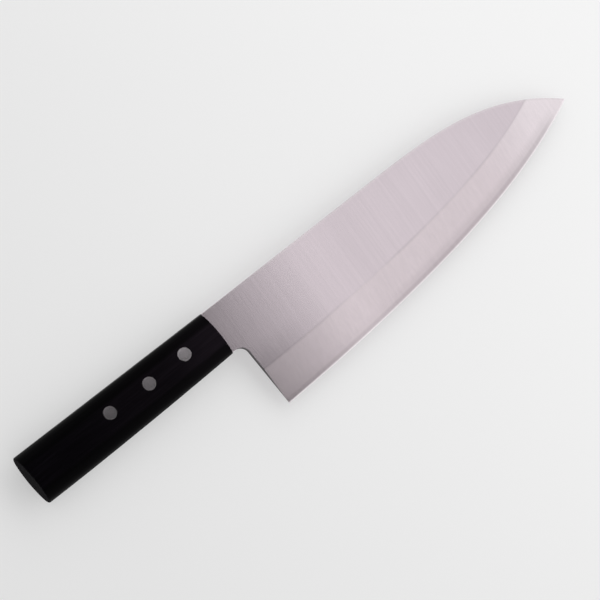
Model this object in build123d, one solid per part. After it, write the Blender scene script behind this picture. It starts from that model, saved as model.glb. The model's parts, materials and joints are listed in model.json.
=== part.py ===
from build123d import *
import math
import os

# Deba knife with a riveted two-scale handle. All sizes are in millimetres.
# The knife lies on its left side: +X runs from the butt to the tip, +Y from the edge to the spine,
# and +Z out of the right side, which carries the bevel.
# Outlines are drawn from a datum: X zero where the spine enters the handle, Y zero on the straight spine,
# Z zero in the middle of the tang. The finished pieces are then moved so that the origin is at the middle
# of the knife's box, on the plane that it lies on.

# Blade outline. The heel leans back from its corner at the edge up to the neck
blade_length = 210.0
blade_height = 63.6
heel_setback = 7.3
heel_lean = 0.85
neck_height = 25.2
choil_radius = 5.0
tip_drop = 27.95

# The edge rises from heel to tip by a short formula of the share of the blade's length
edge_rise_linear_share = 0.22
edge_rise_late_share = 0.335
edge_rise_late_power = 5

# The spine is straight up to this share of the blade's length, and then drops to the tip
spine_straight_share = 0.44
spine_drop_power = 3.75

# Blade section. The flat right face falls evenly from the neck's thickness to the tip's,
# and the bevel is ground from its lower edge down to the narrow bevel at the cutting edge.
# The bevel narrows evenly towards the width in front, and flares out again close to the tip
neck_thickness = 5.5
tip_thickness = 1.8
heel_bevel_width = 21.6
front_bevel_width = 17.4
tip_bevel_width = 22.3
bevel_flare_power = 12
edge_bevel_width = 0.7
edge_shoulder = 0.42
edge_land = 0.08
spine_easing = 0.45
heel_easing = 0.2

# Hollow of the back face
hollow_depth = 0.45
hollow_spine_rim = 5.0
hollow_edge_rim = 3.0
hollow_heel_share = 0.06
hollow_tip_share = 0.93
hollow_corner_power = 6

# Handle
handle_length = 122.0
handle_front_height = 26.0
handle_butt_height = 29.3
handle_front_thickness = 18.2
handle_butt_thickness = 21.6
handle_front_rise = 0.2
handle_butt_rise = 1.0
handle_front_setback = 1.45
handle_front_lean = 0.9
handle_butt_lean = 0.8
handle_swell_power = 1.7
handle_end_round_share = 0.78
handle_front_easing = 0.5
handle_butt_easing = 0.8
tail_length = 26.6
# The tang is ground this much thinner than the neck on each side, so that the scales bed flat
tang_relief = 0.15

# Two-part rivets: a pin with a solid shank, driven into a socket with a bored tube
rivet_head_diameter = 7.2
rivet_head_thickness = 2.2
rivet_tube_diameter = 5.2
rivet_shank_diameter = 3.4
rivet_end_gap = 0.6
rivet_socket_floor = 0.8
rivet_clearance = 0.03
rivet_names = ("front", "middle", "rear")
# Each rivet's place: its share of the tang's length behind the handle's front, and of the handle's height
rivet_place_shares = ((0.2165, 0.420), (0.465, 0.438), (0.730, 0.414))

# Cuts run past the faces they leave by this much
overrun = 3.0

# Number of sections through the blade and the handle
outline_point_count = 14
bevel_section_count = 17
hollow_section_count = 11
handle_section_count = 6

# Sizes that follow from the driving ones
tip_x = heel_setback + blade_length
half_neck = neck_thickness / 2
half_tang = half_neck - tang_relief
back_z = -half_neck
butt_x = -handle_front_setback - handle_length
tang_length = handle_length - tail_length
tang_end_x = -handle_front_setback - tang_length
front_lean = handle_front_lean / handle_front_height
butt_lean = handle_butt_lean / handle_butt_height
face_fall = (neck_thickness - tip_thickness) / tip_x


def blade_x(share):
    """Distance from the datum at a share of the blade's length, from heel to tip."""
    return heel_setback + share * blade_length


def edge_y(share):
    """Height of the cutting edge at a share of the blade's length."""
    squared_share = 1 - edge_rise_linear_share - edge_rise_late_share
    rise_share = edge_rise_linear_share * share + squared_share * share**2
    rise_share += edge_rise_late_share * share**edge_rise_late_power
    return -blade_height + rise_share * (blade_height - tip_drop)


def spine_y(share):
    """Height of the spine at a share of the blade's length."""
    if share <= spine_straight_share:
        return 0
    along = (share - spine_straight_share) / (1 - spine_straight_share)
    return -tip_drop * along**spine_drop_power


def bevel_width(share):
    """Height of the bevel's ridge above the cutting edge at a share of the blade's length."""
    even = heel_bevel_width + (front_bevel_width - heel_bevel_width) * share
    return even + (tip_bevel_width - front_bevel_width) * share**bevel_flare_power


def beyond_handle(x, y):
    """Distance along the knife from the handle's front face."""
    return x + handle_front_setback + front_lean * (y - handle_front_rise)


def face_z(x, y):
    """Height of the flat right face, which tapers from the handle's front to the tip."""
    return half_neck - face_fall * beyond_handle(x, y)


def spread(first, last, count):
    """Evenly spaced shares, from first to last."""
    return [first + (last - first) * step / (count - 1) for step in range(count)]


def handle_profile(along):
    """Back line, belly line and half thickness at a share of the handle's length behind its front."""
    swell = 1 - (1 - along) ** handle_swell_power if along < 1 else 1
    height = handle_front_height + (handle_butt_height - handle_front_height) * swell
    back = handle_front_rise + (handle_butt_rise - handle_front_rise) * along
    half_thickness = (handle_front_thickness + (handle_butt_thickness - handle_front_thickness) * along) / 2
    return back, back - height, half_thickness


def handle_section(along):
    """Oval of four arcs through the handle, the round ends at its back and belly."""
    back, belly, half_width = handle_profile(along)
    half_height = (back - belly) / 2
    end_radius = handle_end_round_share * half_width
    side_radius = ((half_height - end_radius) ** 2 + half_width**2 - end_radius**2) / (
        2 * (half_width - end_radius)
    )
    turn = math.atan2(half_height - end_radius, side_radius - half_width)
    join_y = side_radius * math.sin(turn)
    join_z = half_width - side_radius * (1 - math.cos(turn))
    plane = Plane(
        origin=(-handle_front_setback - along * handle_length, (back + belly) / 2, 0),
        x_dir=(0, 1, 0),
        z_dir=(1, 0, 0),
    )
    outline = [
        ThreePointArc((-join_y, join_z), (0, half_width), (join_y, join_z)),
        ThreePointArc((join_y, join_z), (half_height, 0), (join_y, -join_z)),
        ThreePointArc((join_y, -join_z), (0, -half_width), (-join_y, -join_z)),
        ThreePointArc((-join_y, -join_z), (-half_height, 0), (-join_y, join_z)),
    ]
    return plane * make_face(outline)


def front_plane():
    """Face where the handle ends and the neck comes out, facing the tip."""
    corner = (-handle_front_setback, handle_front_rise, 0)
    return Plane(origin=corner, x_dir=(0, 0, 1), z_dir=(1, front_lean, 0))


def butt_plane():
    """End face of the handle, facing away from the blade."""
    return Plane(origin=(butt_x, handle_butt_rise, 0), x_dir=(0, 0, 1), z_dir=(-1, -butt_lean, 0))


def handle_body():
    """Whole outer form of the handle, with crisp ends."""
    past = overrun / handle_length
    body = loft([handle_section(along) for along in spread(-past, 1 + past, handle_section_count)])
    body = split(body, bisect_by=front_plane(), keep=Keep.BOTTOM)
    return split(body, bisect_by=butt_plane(), keep=Keep.BOTTOM)


def eased_handle_body(body):
    """The handle's form with its end edges rounded over."""
    front_edges = body.faces().sort_by(Axis.X)[-1].edges()
    body = fillet(front_edges, handle_front_easing)
    butt_edges = body.faces().sort_by(Axis.X)[0].edges()
    return fillet(butt_edges, handle_butt_easing)


def slab(low_x, high_x, low_z, high_z):
    """Block that spans the whole height of the knife."""
    middle = Location(((low_x + high_x) / 2, 0, (low_z + high_z) / 2))
    return middle * Box(high_x - low_x, 2 * blade_height, high_z - low_z)


def rivet_axis(place):
    """Place of a rivet, and the level of its head's seat above the middle of the tang."""
    along_tang, down = place
    along = along_tang * tang_length / handle_length
    back, belly, half_thickness = handle_profile(along)
    x = -handle_front_setback - along_tang * tang_length
    return x, back + down * (belly - back), half_thickness - rivet_head_thickness


def rod(x, y, low_z, high_z, diameter):
    """Round bar across the handle."""
    return Location((x, y, (low_z + high_z) / 2)) * Cylinder(diameter / 2, high_z - low_z)


def rivet_hole(place):
    """Hole for one rivet through both scales and the tang, with a recess for each head."""
    x, y, seat = rivet_axis(place)
    reach = handle_butt_thickness
    hole = rod(x, y, -reach, reach, rivet_tube_diameter + 2 * rivet_clearance)
    recess_diameter = rivet_head_diameter + 2 * rivet_clearance
    return hole + rod(x, y, seat, reach, recess_diameter) + rod(x, y, -reach, -seat, recess_diameter)


def rivet_pin(place, outer_form):
    """Right half of a rivet: a head that follows the handle's side, and a solid shank."""
    x, y, seat = rivet_axis(place)
    head = rod(x, y, seat, handle_butt_thickness, rivet_head_diameter) & outer_form
    shank = rod(x, y, rivet_socket_floor + rivet_end_gap - seat, seat, rivet_shank_diameter)
    return head + shank


def rivet_socket(place, outer_form):
    """Left half of a rivet: a head, and a tube that takes the pin's shank."""
    x, y, seat = rivet_axis(place)
    head = rod(x, y, -handle_butt_thickness, -seat, rivet_head_diameter) & outer_form
    tube = rod(x, y, -seat, seat - rivet_end_gap, rivet_tube_diameter)
    bore_diameter = rivet_shank_diameter + 2 * rivet_clearance
    return head + tube - rod(x, y, rivet_socket_floor - seat, seat, bore_diameter)


def blade_plate():
    """Blade and neck cut out at full thickness, with the right face tapered."""
    edge_points = [(blade_x(share), edge_y(share)) for share in spread(0, 1, outline_point_count)]
    spine_points = [
        (blade_x(share), spine_y(share)) for share in spread(spine_straight_share, 1, outline_point_count)
    ]
    tip_direction = (blade_length * (1 - spine_straight_share), -tip_drop * spine_drop_power)
    neck_x = -handle_front_setback - overrun
    neck_low = (neck_x, -neck_height)
    choil_corner = (heel_setback - heel_lean, -neck_height)
    outline = [
        Polyline(neck_low, (neck_x, 0), spine_points[0]),
        Spline(spine_points, tangents=[(1, 0), tip_direction]),
        Spline(edge_points),
        FilletPolyline(edge_points[0], choil_corner, neck_low, radius=choil_radius),
    ]
    plate = Location((0, 0, back_z)) * extrude(make_face(outline), neck_thickness)
    right_face = Plane(
        origin=(-handle_front_setback, handle_front_rise, half_neck),
        x_dir=(0, 1, 0),
        z_dir=(face_fall, face_fall * front_lean, 1),
    )
    plate = split(plate, bisect_by=right_face, keep=Keep.BOTTOM)
    return split(plate, bisect_by=front_plane(), keep=Keep.TOP)


def outline_edges(plate):
    """Edges round the right and back faces, without those at the handle and the cutting edge."""
    neck_end = front_plane()
    kept = []
    for edge in plate.faces().sort_by(SortBy.AREA)[-2:].edges():
        along_spine = (edge @ 0.5).Y > -tip_drop / 2
        at_cutting_edge = (edge @ 0).X + (edge @ 1).X > tip_x and not along_spine
        at_handle = neck_end.contains(edge @ 0) and neck_end.contains(edge @ 1)
        if not at_cutting_edge and not at_handle:
            kept.append(edge)
    return kept


def spine_edges(plate):
    """Both edges of the spine."""
    return [edge for edge in outline_edges(plate) if (edge @ 0.5).Y > -tip_drop / 2]


def heel_edges(plate):
    """The neck's, choil's and heel's edges on the right side."""
    return [edge for edge in outline_edges(plate) if (edge @ 0.5).Y < -tip_drop / 2 and (edge @ 0.5).Z > 0]


def bevel_section(share):
    """Section of what the grinding of the bevel and of the edge takes away, at a share of the length."""
    x = blade_x(share)
    width = bevel_width(share)
    ridge = Vector(edge_y(share) + width, face_z(x, edge_y(share) + width))
    shoulder = Vector(edge_y(share) + edge_bevel_width, back_z + edge_shoulder)
    edge = Vector(edge_y(share), back_z + edge_land)
    above = ridge + (ridge - shoulder) * (overrun / width)
    beyond = edge + (edge - shoulder) * (overrun / edge_bevel_width)
    clear = neck_thickness + overrun
    plane = Plane(origin=(x, 0, 0), x_dir=(0, 1, 0), z_dir=(1, 0, 0))
    corners = [
        (above.X, above.Y),
        (shoulder.X, shoulder.Y),
        (beyond.X, beyond.Y),
        (beyond.X, clear),
        (above.X, clear),
    ]
    return plane * make_face(Polyline(*corners, close=True))


def bevel_cut():
    """All that the grinding of the right side takes away."""
    past = overrun / blade_length
    return loft([bevel_section(share) for share in spread(-past, 1 + past, bevel_section_count)])


def hollow_section(along):
    """Section of the shallow hollow in the back face, at a share of the hollow's length."""
    share = hollow_heel_share + (hollow_tip_share - hollow_heel_share) * along
    fullness = math.sqrt(1 - abs(2 * along - 1) ** hollow_corner_power)
    top = spine_y(share) - hollow_spine_rim
    bottom = edge_y(share) + hollow_edge_rim
    half_width = (top - bottom) / 2 * fullness
    plane = Plane(origin=(blade_x(share), (top + bottom) / 2, back_z), x_dir=(0, 1, 0), z_dir=(1, 0, 0))
    depth = hollow_depth * fullness
    arc = ThreePointArc((-half_width, -hollow_depth / 4), (0, depth), (half_width, -hollow_depth / 4))
    rim = Polyline(arc @ 1, (half_width, -overrun), (-half_width, -overrun), arc @ 0)
    return plane * make_face([arc, rim])


def back_hollow():
    """All that the hollow grinding of the back face takes away."""
    inset = 1 / (2 * hollow_section_count)
    return loft([hollow_section(along) for along in spread(inset, 1 - inset, hollow_section_count)])


def blade(outer_form):
    """Blade, neck and tang in one piece."""
    plate = blade_plate()
    plate = fillet(spine_edges(plate), spine_easing)
    plate = fillet(heel_edges(plate), heel_easing)
    plate = plate - bevel_cut() - back_hollow()
    tang = outer_form & slab(tang_end_x, overrun, -half_tang, half_tang)
    body = plate + tang
    for place in rivet_place_shares:
        body = body - rivet_hole(place)
    return body


def scale(eased_form, side):
    """One half of the handle; side is 1 for the right one and -1 for the left one."""
    low_z, high_z = sorted((side * half_tang, side * handle_butt_thickness))
    half = eased_form & slab(butt_x - overrun, overrun, low_z, high_z)
    for place in rivet_place_shares:
        half = half - rivet_hole(place)
    return half


def tail_spacer(eased_form):
    """Filler between the scales behind the end of the tang."""
    return eased_form & slab(butt_x - overrun, tang_end_x, -half_tang, half_tang)


def knife():
    """All pieces by name, on the outlines' datum."""
    outer_form = handle_body()
    eased_form = eased_handle_body(outer_form)
    pieces = {
        "blade": blade(outer_form),
        "right_scale": scale(eased_form, 1),
        "left_scale": scale(eased_form, -1),
        "tail_spacer": tail_spacer(eased_form),
    }
    for name, place in zip(rivet_names, rivet_place_shares):
        pieces[name + "_rivet_pin"] = rivet_pin(place, outer_form)
        pieces[name + "_rivet_socket"] = rivet_socket(place, outer_form)
    return pieces


pieces = knife()
box = Compound(children=[Part(piece.wrapped) for piece in pieces.values()]).bounding_box()
to_origin = Location((-box.center().X, -box.center().Y, -box.min.Z))
os.makedirs("parts", exist_ok=True)
for name, piece in pieces.items():
    export_step(to_origin * piece, f"parts/{name}.step")
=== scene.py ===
import json
import math
import bpy
from mathutils import Matrix, Vector


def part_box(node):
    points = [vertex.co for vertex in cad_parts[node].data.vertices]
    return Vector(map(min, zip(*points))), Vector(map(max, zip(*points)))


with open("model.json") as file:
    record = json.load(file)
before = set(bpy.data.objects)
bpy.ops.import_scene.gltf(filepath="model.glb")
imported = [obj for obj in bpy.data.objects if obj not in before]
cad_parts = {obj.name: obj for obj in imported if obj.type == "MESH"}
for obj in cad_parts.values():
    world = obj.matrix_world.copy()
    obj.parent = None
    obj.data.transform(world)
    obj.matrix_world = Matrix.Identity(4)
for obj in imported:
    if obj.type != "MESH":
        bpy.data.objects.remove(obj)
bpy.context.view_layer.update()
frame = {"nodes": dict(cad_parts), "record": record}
nodes = frame["nodes"]
mounts = {mount["name"]: mount for mount in frame["record"]["mounts"]}
MM = 0.001

# Outline of the knife as it is built, in millimetres from the datum
BLADE_LENGTH = 210.0
BLADE_HEIGHT = 63.6
HEEL_SETBACK = 7.3
NECK_HEIGHT = 25.2
TIP_DROP = 27.95
SPINE_STRAIGHT_SHARE = 0.44
SPINE_DROP_POWER = 3.75
EDGE_RISE_SHARES = {1: 0.22, 2: 0.445, 5: 0.335}
HEEL_BEVEL_WIDTH = 21.6
FRONT_BEVEL_WIDTH = 17.4
TIP_BEVEL_WIDTH = 22.3
BEVEL_FLARE_POWER = 12.0
EDGE_BEVEL_WIDTH = 0.7
HANDLE_FRONT = -1.45
HANDLE_LENGTH = 122.0
TANG_HALF_THICKNESS = 2.6
RIVET_RADIUS = 3.6

# The datum: where the spine enters the handle, at mid-thickness
slot = Vector(mounts["block_slot"]["pos_m"])
DATUM = slot + Vector((-HEEL_SETBACK * MM, BLADE_HEIGHT / 2 * MM, 0))

# Camera: nearly square on to the blade, tilted towards the butt, rolled so that the tip points up right
CAMERA_TILT = math.radians(10.4)
CAMERA_ROLL = math.radians(38.03)
CAMERA_DISTANCE = 12.0
CAMERA_FIELD = 305.66 * MM
CAMERA_AIM = DATUM + Vector((43.93, -25.4, 0)) * MM
SENSOR_WIDTH = 36.0

# Soft overhead lights, above the blade and out past the tip: a wide one, and a wing on each side of it
LIGHT_HEIGHT = 0.42
LIGHT_LEVEL = 0.88
LIGHTS = {
    "softbox": ((0.056, -0.5), (0.65, 0.5)),
    "edge_wing": ((0.06, -1.05), (0.85, -0.5)),
    "spine_wing": ((0.17, 0.5), (0.85, 1.05)),
}

# Surround, from the pale backdrop at the horizon up to the dim ceiling
HORIZON_LEVEL = 0.85
CEILING_LEVEL = 0.025
BACKDROP_TOP = 0.03
CEILING_START = 0.8
FILL_LEVEL = 0.6
FLOOR_WIDTH = 8.0
FLOOR_GREY = 0.5
FLOOR_LIFT = 0.38


def join(tree, feed, socket):
    """Links a feed to a socket, or sets it there where it is a plain value."""
    if isinstance(feed, bpy.types.NodeSocket):
        tree.links.new(feed, socket)
    elif feed is not None:
        socket.default_value = feed


def add(tree, kind, *feeds, **settings):
    """Adds a node, with feeds for its inputs in order."""
    node = tree.nodes.new(kind)
    for name, value in settings.items():
        setattr(node, name, value)
    for socket, feed in zip(node.inputs, feeds):
        join(tree, feed, socket)
    return node


def calc(tree, operation, *terms):
    """One step of arithmetic."""
    return add(tree, "ShaderNodeMath", *terms, operation=operation).outputs[0]


def product(tree, value, *others):
    """A value times each of the others in turn."""
    for other in others:
        value = calc(tree, "MULTIPLY", value, other)
    return value


def weighted(tree, value, *effects):
    """A value plus each effect times its weight."""
    for effect, weight in effects:
        value = calc(tree, "MULTIPLY_ADD", effect, weight, value)
    return value


def distance(tree, value, middle=0.0):
    """How far a value is from a middle one, either way."""
    return calc(tree, "ABSOLUTE", calc(tree, "SUBTRACT", value, middle))


def ramp(tree, value, start, end, low=0.0, high=1.0):
    """A smooth step from low to high while the value goes from start to end."""
    step = add(tree, "ShaderNodeMapRange", value, start, end, low, high, interpolation_type="SMOOTHSTEP")
    return step.outputs[0]


def blend(tree, share, first, second, kind="MIX"):
    """Mixes two colours, by the colour sockets of the mix node."""
    mix = tree.nodes.new("ShaderNodeMix")
    mix.data_type = "RGBA"
    mix.blend_type = kind
    for index, feed in ((0, share), (6, first), (7, second)):
        join(tree, feed, mix.inputs[index])
    return mix.outputs[2]


def parts_of(tree, vector):
    """The three parts of a vector."""
    return add(tree, "ShaderNodeSeparateXYZ", vector).outputs


def facing_parts(tree):
    """The three parts of the direction that the surface faces."""
    return parts_of(tree, add(tree, "ShaderNodeNewGeometry").outputs["Normal"])


def colour(red, green, blue):
    """A colour as sockets hold it."""
    return (red, green, blue, 1)


def new_group(name, inputs, outputs):
    """An empty node group; an input is a name, a kind and sometimes a value, an output a name and a kind."""
    group = bpy.data.node_groups.new(name, "ShaderNodeTree")
    for socket_name, kind, *value in inputs:
        socket = group.interface.new_socket(socket_name, in_out="INPUT", socket_type=kind)
        if value:
            socket.default_value = value[0]
    for socket_name, kind in outputs:
        group.interface.new_socket(socket_name, in_out="OUTPUT", socket_type=kind)
    entry = group.nodes.new("NodeGroupInput")
    leave = group.nodes.new("NodeGroupOutput")
    return group, entry.outputs, leave.inputs


def place_group(tree, group, **feeds):
    """Puts a group into a material, with its values, and returns its outputs."""
    node = tree.nodes.new("ShaderNodeGroup")
    node.node_tree = group
    for name, feed in feeds.items():
        join(tree, feed, node.inputs[name])
    return node.outputs


def centred_noise(group, place, scale, detail, out):
    """Noise at a place, put out as a value from minus one to one; returns its node."""
    noise = add(group, "ShaderNodeTexNoise", place)
    join(group, scale, noise.inputs["Scale"])
    noise.inputs["Detail"].default_value = detail
    join(group, calc(group, "MULTIPLY_ADD", noise.outputs["Fac"], 2.0, -1.0), out)
    return noise


def ground_lines():
    """Lines that grinding leaves: streaks of one length, at one spacing, turned about Z."""
    group, given, out = new_group(
        "ground_lines",
        [
            ("Place", "NodeSocketVector"),
            ("Turn", "NodeSocketFloat", 0.0),
            ("Spacing", "NodeSocketFloat", 0.5),
            ("Length", "NodeSocketFloat", 30.0),
        ],
        [("Lines", "NodeSocketFloat")],
    )
    turned = add(group, "ShaderNodeVectorRotate", given["Place"], rotation_type="Z_AXIS")
    join(group, given["Turn"], turned.inputs["Angle"])
    parts = parts_of(group, turned.outputs[0])
    across = calc(group, "DIVIDE", parts[0], given["Spacing"])
    along = calc(group, "DIVIDE", parts[1], given["Length"])
    deep = calc(group, "DIVIDE", parts[2], given["Spacing"])
    stretched = add(group, "ShaderNodeCombineXYZ", across, along, deep).outputs[0]
    noise = centred_noise(group, stretched, 1.0, 3.0, out["Lines"])
    noise.inputs["Roughness"].default_value = 0.6
    return group


def soft_smudges():
    """Broad, faint clouds, such as handling and polishing leave."""
    group, given, out = new_group(
        "soft_smudges",
        [("Place", "NodeSocketVector"), ("Size", "NodeSocketFloat", 30.0)],
        [("Smudge", "NodeSocketFloat")],
    )
    scale = calc(group, "DIVIDE", 1.0, given["Size"])
    centred_noise(group, given["Place"], scale, 2.0, out["Smudge"])
    return group


def blade_zones():
    """Where a place lies on the blade: along it, and above its edge and ridge, and below its spine."""
    group, given, out = new_group(
        "blade_zones",
        [("Place", "NodeSocketVector")],
        [
            ("Along", "NodeSocketFloat"),
            ("Above Edge", "NodeSocketFloat"),
            ("Above Ridge", "NodeSocketFloat"),
            ("Below Spine", "NodeSocketFloat"),
        ],
    )
    parts = parts_of(group, given["Place"])
    along = calc(group, "DIVIDE", calc(group, "SUBTRACT", parts[0], HEEL_SETBACK), BLADE_LENGTH)
    along = calc(group, "MAXIMUM", along, 0.0)
    join(group, along, out["Along"])

    edge = -BLADE_HEIGHT
    for power, share in EDGE_RISE_SHARES.items():
        rise = share * (BLADE_HEIGHT - TIP_DROP)
        edge = calc(group, "MULTIPLY_ADD", calc(group, "POWER", along, float(power)), rise, edge)
    above_edge = calc(group, "SUBTRACT", parts[1], edge)
    join(group, above_edge, out["Above Edge"])

    flare = calc(group, "POWER", along, BEVEL_FLARE_POWER)
    width = weighted(
        group,
        HEEL_BEVEL_WIDTH,
        (along, FRONT_BEVEL_WIDTH - HEEL_BEVEL_WIDTH),
        (flare, TIP_BEVEL_WIDTH - FRONT_BEVEL_WIDTH),
    )
    join(group, calc(group, "SUBTRACT", above_edge, width), out["Above Ridge"])

    late = calc(group, "SUBTRACT", along, SPINE_STRAIGHT_SHARE)
    late = calc(group, "DIVIDE", late, 1 - SPINE_STRAIGHT_SHARE)
    drop = calc(group, "POWER", calc(group, "MAXIMUM", late, 0.0), SPINE_DROP_POWER)
    spine = calc(group, "MULTIPLY", drop, -TIP_DROP)
    join(group, calc(group, "SUBTRACT", spine, parts[1]), out["Below Spine"])
    return group


def camera():
    """The photograph's camera: a long lens above the right side of the knife."""
    along = Vector((math.cos(CAMERA_TILT), 0, math.sin(CAMERA_TILT)))
    across = Vector((0, 1, 0))
    back = along.cross(across)
    right = math.cos(CAMERA_ROLL) * along - math.sin(CAMERA_ROLL) * across
    up = math.sin(CAMERA_ROLL) * along + math.cos(CAMERA_ROLL) * across
    data = bpy.data.cameras.new("camera")
    data.sensor_width = SENSOR_WIDTH
    data.lens = SENSOR_WIDTH * CAMERA_DISTANCE / CAMERA_FIELD
    data.clip_end = 2 * CAMERA_DISTANCE
    eye = bpy.data.objects.new("camera", data)
    bpy.context.scene.collection.objects.link(eye)
    turn = Matrix((right, up, back)).transposed().to_4x4()
    eye.matrix_world = Matrix.Translation(CAMERA_AIM + back * CAMERA_DISTANCE) @ turn
    bpy.context.scene.camera = eye


def overhead_lights():
    """Large soft lights that face straight down."""
    for name, (low, high) in LIGHTS.items():
        width = high[0] - low[0]
        depth = high[1] - low[1]
        data = bpy.data.lights.new(name, "AREA")
        data.shape = "RECTANGLE"
        data.size = width
        data.size_y = depth
        data.energy = LIGHT_LEVEL * math.pi * width * depth
        lamp = bpy.data.objects.new(name, data)
        bpy.context.scene.collection.objects.link(lamp)
        lamp.location = (low[0] + width / 2, low[1] + depth / 2, LIGHT_HEIGHT)
        lamp.visible_camera = False


def seen_rays(tree):
    """One for the rays that see the background itself, directly, in gloss or through glass."""
    rays = add(tree, "ShaderNodeLightPath").outputs
    seen = calc(tree, "ADD", rays["Is Camera Ray"], rays["Is Glossy Ray"])
    seen = calc(tree, "ADD", seen, rays["Is Transmission Ray"])
    return calc(tree, "MINIMUM", seen, 1.0)


def surround():
    """Pale backdrop all round, under a dim ceiling."""
    world = bpy.data.worlds.new("surround")
    bpy.context.scene.world = world
    world.use_nodes = True
    tree = world.node_tree
    direction = add(tree, "ShaderNodeTexCoord").outputs["Generated"]
    height = parts_of(tree, direction)[2]
    shown = ramp(tree, height, BACKDROP_TOP, CEILING_START, HORIZON_LEVEL, CEILING_LEVEL)
    level = add(tree, "ShaderNodeMix", seen_rays(tree), None, FILL_LEVEL, shown).outputs[0]
    join(tree, level, tree.nodes["Background"].inputs["Strength"])
    tree.nodes["Background"].inputs["Color"].default_value = colour(1, 1, 1)


def floor():
    """Plain pale floor that keeps the knife's shadow."""
    bpy.ops.mesh.primitive_plane_add(size=FLOOR_WIDTH, location=(0, 0, 0))
    plane = bpy.context.active_object
    plane.name = "floor"
    material, tree, shader = new_material("pale_floor")
    shader.inputs["Base Color"].default_value = colour(FLOOR_GREY, FLOOR_GREY, FLOOR_GREY)
    shader.inputs["Roughness"].default_value = 0.95
    shader.inputs["Specular IOR Level"].default_value = 0.1
    shader.inputs["Emission Color"].default_value = colour(1, 1, 1)
    lift = calc(tree, "MULTIPLY", seen_rays(tree), FLOOR_LIFT)
    join(tree, lift, shader.inputs["Emission Strength"])
    plane.data.materials.append(material)


def new_material(name):
    """An empty node material, and its Principled shader."""
    material = bpy.data.materials.new(name)
    material.use_nodes = True
    tree = material.node_tree
    return material, tree, tree.nodes["Principled BSDF"]


def datum_place(tree):
    """Place on the surface in millimetres from the datum."""
    here = add(tree, "ShaderNodeTexCoord").outputs["Object"]
    moved = add(tree, "ShaderNodeVectorMath", here, DATUM, operation="SUBTRACT").outputs[0]
    scaled = add(tree, "ShaderNodeVectorMath", moved, operation="SCALE")
    scaled.inputs["Scale"].default_value = 1 / MM
    return scaled.outputs[0]


def bump(tree, height, depth):
    """Normal from a height, where a height of one stands up by the depth in metres."""
    node = add(tree, "ShaderNodeBump")
    node.inputs["Strength"].default_value = 1.0
    node.inputs["Distance"].default_value = depth
    join(tree, height, node.inputs["Height"])
    return node.outputs[0]


def dress(names, material):
    """Gives CAD nodes a material."""
    for name in names:
        node = nodes[name]
        node.data.materials.clear()
        node.data.materials.append(material)


# Blade finish: colours, some of them painted light and shade, and where they change, in millimetres or as
# shares of the blade from the heel
FLAT_AT_HEEL = colour(0.73, 0.645, 0.69)
FLAT_AT_TIP = colour(0.70, 0.62, 0.665)
FLAT_CHANGE = (0.2, 0.8)
# Painted shade: the bevel is darker by the heel, as light that falls off towards the handle
BEVEL_AT_HEEL_PAINTED_SHADE = colour(0.62, 0.547, 0.577)
BEVEL_IN_MIDDLE = colour(0.725, 0.64, 0.675)
BEVEL_PAINTED_SHADE_FADE = (0.0, 0.29)
BEVEL_AT_TIP = colour(0.86, 0.785, 0.82)
TIP_CHANGE = (0.7, 0.97)
# Painted highlight: a lighter rim along the spine
SPINE_RIM_PAINTED_HIGHLIGHT = colour(0.76, 0.71, 0.73)
SPINE_HIGHLIGHT_FADE = (1.7, 0.3)
SPINE_HIGHLIGHT_SHARE = 0.5
EDGE_BEVEL = colour(0.74, 0.695, 0.715)
RIDGE_SOFTNESS = 0.3
RIDGE_LINE_WIDTH = 1.3
RIDGE_BREAK_CLOUDS = (-0.35, 0.25)
RIDGE_BREAK_LEVEL = 0.5
RIDGE_FAINT_MIDDLE = 0.33
RIDGE_FAINT_REACH = (0.04, 0.12)
RIDGE_FAINT_LEVEL = 0.35
DARK_BAND_FADE = (8.0, 3.0)
DARK_BAND_START = (0.28, 0.5)
DARK_BAND_HEEL_LEVEL = 0.3
DARK_LINE_FADE = (3.5, 1.9)
DARK_LINE_WEIGHT = 1.1
DARK_BAND_END = (0.98, 0.9)
# Painted highlight on the blade between its heel and its middle
PAINTED_SHINE_RISE = (0.1, 0.25)
PAINTED_SHINE_FALL = (0.38, 0.26)
LOW_FLAT_FADE = (15.0, 0.0)
LOW_FLAT_END = (0.2, 0.02)
FACE_ALLOWANCE = 0.3
BLADE_BUMP = 0.003 * MM

# A face counts as a side one where it faces up or down by less than this, of one
SIDE_FACE_LIMIT = 0.4


def blade_colour(tree, zones, on_bevel, at_edge):
    """Steel colour of the flat and the bevel, with painted shade on the bevel by the heel, and of the
    spine's rim, with a painted highlight there, and the edge bevel.
    """
    along = zones["Along"]
    flat = blend(tree, ramp(tree, along, *FLAT_CHANGE), FLAT_AT_HEEL, FLAT_AT_TIP)
    # Painted shade on the bevel by the heel
    bevel = blend(tree, ramp(tree, along, *BEVEL_PAINTED_SHADE_FADE), BEVEL_AT_HEEL_PAINTED_SHADE, BEVEL_IN_MIDDLE)
    bevel = blend(tree, ramp(tree, along, *TIP_CHANGE), bevel, BEVEL_AT_TIP)
    steel = blend(tree, on_bevel, flat, bevel)
    # Painted highlight along the spine's rim
    rim = ramp(tree, zones["Below Spine"], *SPINE_HIGHLIGHT_FADE, 0.0, SPINE_HIGHLIGHT_SHARE)
    steel = blend(tree, rim, steel, SPINE_RIM_PAINTED_HIGHLIGHT)
    return blend(tree, at_edge, steel, EDGE_BEVEL)


def ridge_line(tree, zones, clouds):
    """Thin line along the ridge, broken by the clouds and fainter round one place."""
    line = ramp(tree, distance(tree, zones["Above Ridge"]), 0.0, RIDGE_LINE_WIDTH, 1.0, 0.0)
    broken = ramp(tree, clouds, *RIDGE_BREAK_CLOUDS, RIDGE_BREAK_LEVEL, 1.0)
    off_middle = distance(tree, zones["Along"], RIDGE_FAINT_MIDDLE)
    faint = ramp(tree, off_middle, *RIDGE_FAINT_REACH, RIDGE_FAINT_LEVEL, 1.0)
    return product(tree, line, broken, faint)


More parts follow.
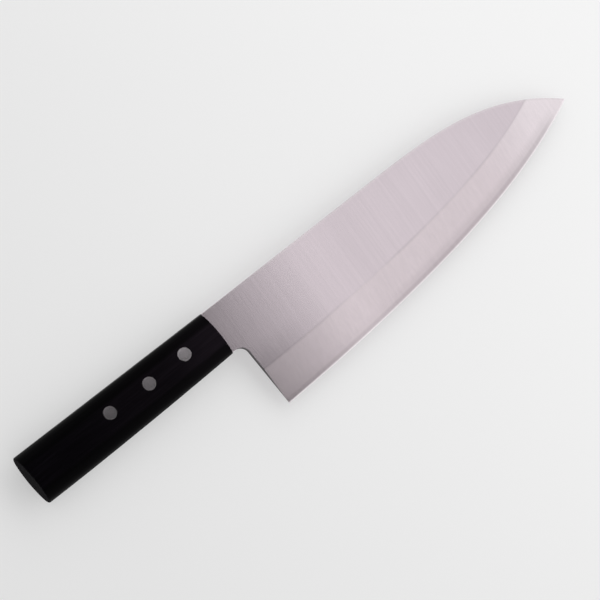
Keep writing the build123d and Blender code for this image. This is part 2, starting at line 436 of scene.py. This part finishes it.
def dark_band(tree, zones, at_edge):
    """Band above the edge bevel, with a narrower and darker line in it, up to just before the tip."""
    along = zones["Along"]
    above_edge = zones["Above Edge"]
    band = ramp(tree, above_edge, *DARK_BAND_FADE)
    band = product(tree, band, ramp(tree, along, *DARK_BAND_START, DARK_BAND_HEEL_LEVEL, 1.0))
    band = weighted(tree, band, (ramp(tree, above_edge, *DARK_LINE_FADE), DARK_LINE_WEIGHT))
    shown = calc(tree, "SUBTRACT", ramp(tree, along, *DARK_BAND_END), at_edge)
    return product(tree, band, calc(tree, "MAXIMUM", shown, 0.0))


def painted_highlight_stretch(tree, along):
    """Painted highlight: a brighter stretch of the blade, between its heel and its middle."""
    rise = ramp(tree, along, *PAINTED_SHINE_RISE)
    return product(tree, rise, ramp(tree, along, *PAINTED_SHINE_FALL))


def low_flat_shade(tree, zones, on_bevel):
    """Shade on the lower flat by the heel."""
    shade = ramp(tree, zones["Above Ridge"], *LOW_FLAT_FADE)
    by_heel = ramp(tree, zones["Along"], *LOW_FLAT_END)
    return product(tree, shade, by_heel, calc(tree, "SUBTRACT", 1.0, on_bevel))


def painted_shade_faces(tree, place):
    """Masks for painted shade: the heel's end face, and the tang's rim between the scales."""
    parts = parts_of(tree, place)
    side = calc(tree, "LESS_THAN", distance(tree, facing_parts(tree)[2]), SIDE_FACE_LIMIT)
    below_neck = calc(tree, "LESS_THAN", parts[1], FACE_ALLOWANCE - NECK_HEIGHT)
    behind_heel = calc(tree, "LESS_THAN", parts[0], HEEL_SETBACK + FACE_ALLOWANCE)
    heel_face = product(tree, side, below_neck, behind_heel)
    return heel_face, calc(tree, "LESS_THAN", parts[0], HANDLE_FRONT)


def blade_steel():
    """Satin steel: ground across the flat and the bevel, with a smoother edge bevel."""
    material, tree, shader = new_material("satin_blade_steel")
    place = datum_place(tree)
    zones = place_group(tree, ZONES, Place=place)
    coarse = place_group(tree, LINES, Place=place, Turn=0.05, Spacing=1.3, Length=70.0)["Lines"]
    fine = place_group(tree, LINES, Place=place, Turn=-0.03, Spacing=0.3, Length=25.0)["Lines"]
    clouds = place_group(tree, SMUDGES, Place=place, Size=38.0)["Smudge"]
    on_bevel = ramp(tree, zones["Above Ridge"], RIDGE_SOFTNESS, -RIDGE_SOFTNESS)
    at_edge = calc(tree, "LESS_THAN", zones["Above Edge"], EDGE_BEVEL_WIDTH)
    heel_face, on_tang = painted_shade_faces(tree, place)

    steel = blade_colour(tree, zones, on_bevel, at_edge)
    level = weighted(
        tree,
        1.0,
        (coarse, 0.06),
        (fine, 0.055),
        (clouds, 0.05),
        (ridge_line(tree, zones, clouds), -0.1),
        (dark_band(tree, zones, at_edge), -0.11),
        # painted highlight between the heel and the middle
        (painted_highlight_stretch(tree, zones["Along"]), 0.085),
        (low_flat_shade(tree, zones, on_bevel), -0.15),
    )
    # Painted shade: the heel's end face and the tang's rim are darkened almost to black, and made rougher
    # and less metallic
    heel_painted_shade = weighted(tree, 1.0, (heel_face, -0.95))
    tang_painted_shade = weighted(tree, 1.0, (on_tang, -0.96))
    level = product(tree, level, heel_painted_shade, tang_painted_shade)
    join(tree, blend(tree, 1.0, steel, level, "MULTIPLY"), shader.inputs["Base Color"])

    rough = weighted(
        tree, 0.24, (fine, 0.04), (clouds, 0.03), (at_edge, -0.08), (heel_face, 0.3), (on_tang, 0.4)
    )
    join(tree, rough, shader.inputs["Roughness"])
    height = weighted(tree, coarse, (fine, 0.4))
    join(tree, bump(tree, height, BLADE_BUMP), shader.inputs["Normal"])
    dull = calc(tree, "MAXIMUM", on_tang, heel_face)
    join(tree, weighted(tree, 1.0, (dull, -0.8)), shader.inputs["Metallic"])
    return material


# Handle finish: dark and light of the grain at three places, painted lighter at the front and darker towards
# the butt as painted light and shade, and where they change, as shares from the front
GRAIN_CHANGE = (-0.2, 0.6)
FRONT_BLACKS_PAINTED_LIGHT = (colour(0.0074, 0.0052, 0.0078), colour(0.0118, 0.0086, 0.0122))
MIDDLE_BLACKS_PAINTED_SHADE = (colour(0.0032, 0.0023, 0.0035), colour(0.0066, 0.0048, 0.0072))
REAR_BLACKS_PAINTED_SHADE = (colour(0.0018, 0.0013, 0.0022), colour(0.0039, 0.0029, 0.0047))
PAINTED_LIGHT_CHANGE = (0.3, 0.04)
PAINTED_SHADE_CHANGE = (0.35, 0.85)

# Seam between the tang and the scales, in millimetres from it
SEAM_BLACK = colour(0.001, 0.001, 0.001)
SEAM_FADE = (0.03, 0.12)

# Painted shade on the flanks, and rougher end faces, by how far they face along the knife's height or its
# length
FLANK_PAINTED_SHADE_CHANGE = (0.32, 0.46)
FLANK_PAINTED_SHADE_LEVEL = 0.3
END_FACE_CHANGE = (0.7, 0.95)
HANDLE_BUMP = 0.004 * MM
HANDLE_GLOSS = 0.03


def handle_black():
    """Black resin-filled laminate, with a grain that only just shows, painted light at the front, and
    painted shade towards the butt and on the flanks.
    """
    material, tree, shader = new_material("black_handle")
    place = datum_place(tree)
    grain = place_group(tree, LINES, Place=place, Turn=math.pi / 2, Spacing=0.55, Length=26.0)["Lines"]
    clouds = place_group(tree, SMUDGES, Place=place, Size=16.0)["Smudge"]
    parts = parts_of(tree, place)
    from_seam = distance(tree, distance(tree, parts[2]), TANG_HALF_THICKNESS)
    seam = ramp(tree, from_seam, *SEAM_FADE, 1.0, 0.0)
    facing = facing_parts(tree)

    behind = calc(tree, "DIVIDE", calc(tree, "SUBTRACT", HANDLE_FRONT, parts[0]), HANDLE_LENGTH)
    share = ramp(tree, grain, *GRAIN_CHANGE)
    rear = blend(tree, share, *REAR_BLACKS_PAINTED_SHADE)
    middle = blend(tree, share, *MIDDLE_BLACKS_PAINTED_SHADE)
    front = blend(tree, share, *FRONT_BLACKS_PAINTED_LIGHT)
    # Painted light and shade: lighter at the front, darker towards the butt
    black = blend(tree, ramp(tree, behind, *PAINTED_SHADE_CHANGE), middle, rear)
    black = blend(tree, ramp(tree, behind, *PAINTED_LIGHT_CHANGE), black, front)
    black = blend(tree, seam, black, SEAM_BLACK)
    # Painted shade on the flanks, where the surface faces up or down
    level = ramp(tree, distance(tree, facing[1]), *FLANK_PAINTED_SHADE_CHANGE, 1.0, FLANK_PAINTED_SHADE_LEVEL)
    join(tree, blend(tree, 1.0, black, level, "MULTIPLY"), shader.inputs["Base Color"])

    end_face = ramp(tree, distance(tree, facing[0]), *END_FACE_CHANGE)
    rough = weighted(tree, 0.36, (clouds, 0.05), (grain, 0.05), (seam, 0.3), (end_face, 0.4))
    join(tree, rough, shader.inputs["Roughness"])
    height = weighted(tree, grain, (seam, -4.0))
    join(tree, bump(tree, height, HANDLE_BUMP), shader.inputs["Normal"])
    shader.inputs["Specular IOR Level"].default_value = HANDLE_GLOSS
    return material


# Rivet finish, in millimetres from the head's middle
RIVET_COLOUR = colour(0.94, 0.88, 0.92)
RIM_WIDTH = 0.35
TURNED_LINE_RADIUS = 2.5
TURNED_LINE_REACH = 0.5
RIVET_BUMP = 0.0009 * MM


def rivet_steel(name, centre):
    """Rivet head sanded flush with the handle, dark at its rim, with a faint turned line further in."""
    material, tree, shader = new_material(name)
    place = datum_place(tree)
    turn = math.pi / 2 + 0.2
    lines = place_group(tree, LINES, Place=place, Turn=turn, Spacing=0.22, Length=9.0)["Lines"]
    clouds = place_group(tree, SMUDGES, Place=place, Size=3.0)["Smudge"]
    middle = (centre - DATUM) / MM
    offset = add(tree, "ShaderNodeVectorMath", place, middle, operation="SUBTRACT").outputs[0]
    parts = parts_of(tree, offset)
    flat = add(tree, "ShaderNodeCombineXYZ", parts[0], parts[1], 0.0).outputs[0]
    out = add(tree, "ShaderNodeVectorMath", flat, operation="LENGTH").outputs["Value"]
    rim = ramp(tree, out, RIVET_RADIUS - RIM_WIDTH, RIVET_RADIUS)
    turned = ramp(tree, distance(tree, out, TURNED_LINE_RADIUS), 0.0, TURNED_LINE_REACH, 1.0, 0.0)

    level = weighted(tree, 1.0, (lines, 0.06), (clouds, 0.03), (rim, -0.35), (turned, -0.1))
    join(tree, blend(tree, 1.0, RIVET_COLOUR, level, "MULTIPLY"), shader.inputs["Base Color"])
    join(tree, weighted(tree, 0.23, (lines, 0.03)), shader.inputs["Roughness"])
    height = weighted(tree, lines, (rim, -3.0))
    join(tree, bump(tree, height, RIVET_BUMP), shader.inputs["Normal"])
    shader.inputs["Metallic"].default_value = 1
    return material


LINES = ground_lines()
SMUDGES = soft_smudges()
ZONES = blade_zones()

bpy.context.scene.view_settings.view_transform = "Standard"
camera()
overhead_lights()
surround()
floor()
dress(["blade"], blade_steel())
dress(["right_scale", "left_scale", "tail_spacer"], handle_black())
for place_name in ("front", "middle", "rear"):
    pin = place_name + "_rivet_pin"
    low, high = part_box(pin)
    rivet = rivet_steel(place_name + "_rivet_steel", (low + high) / 2)
    dress([pin, place_name + "_rivet_socket"], rivet)
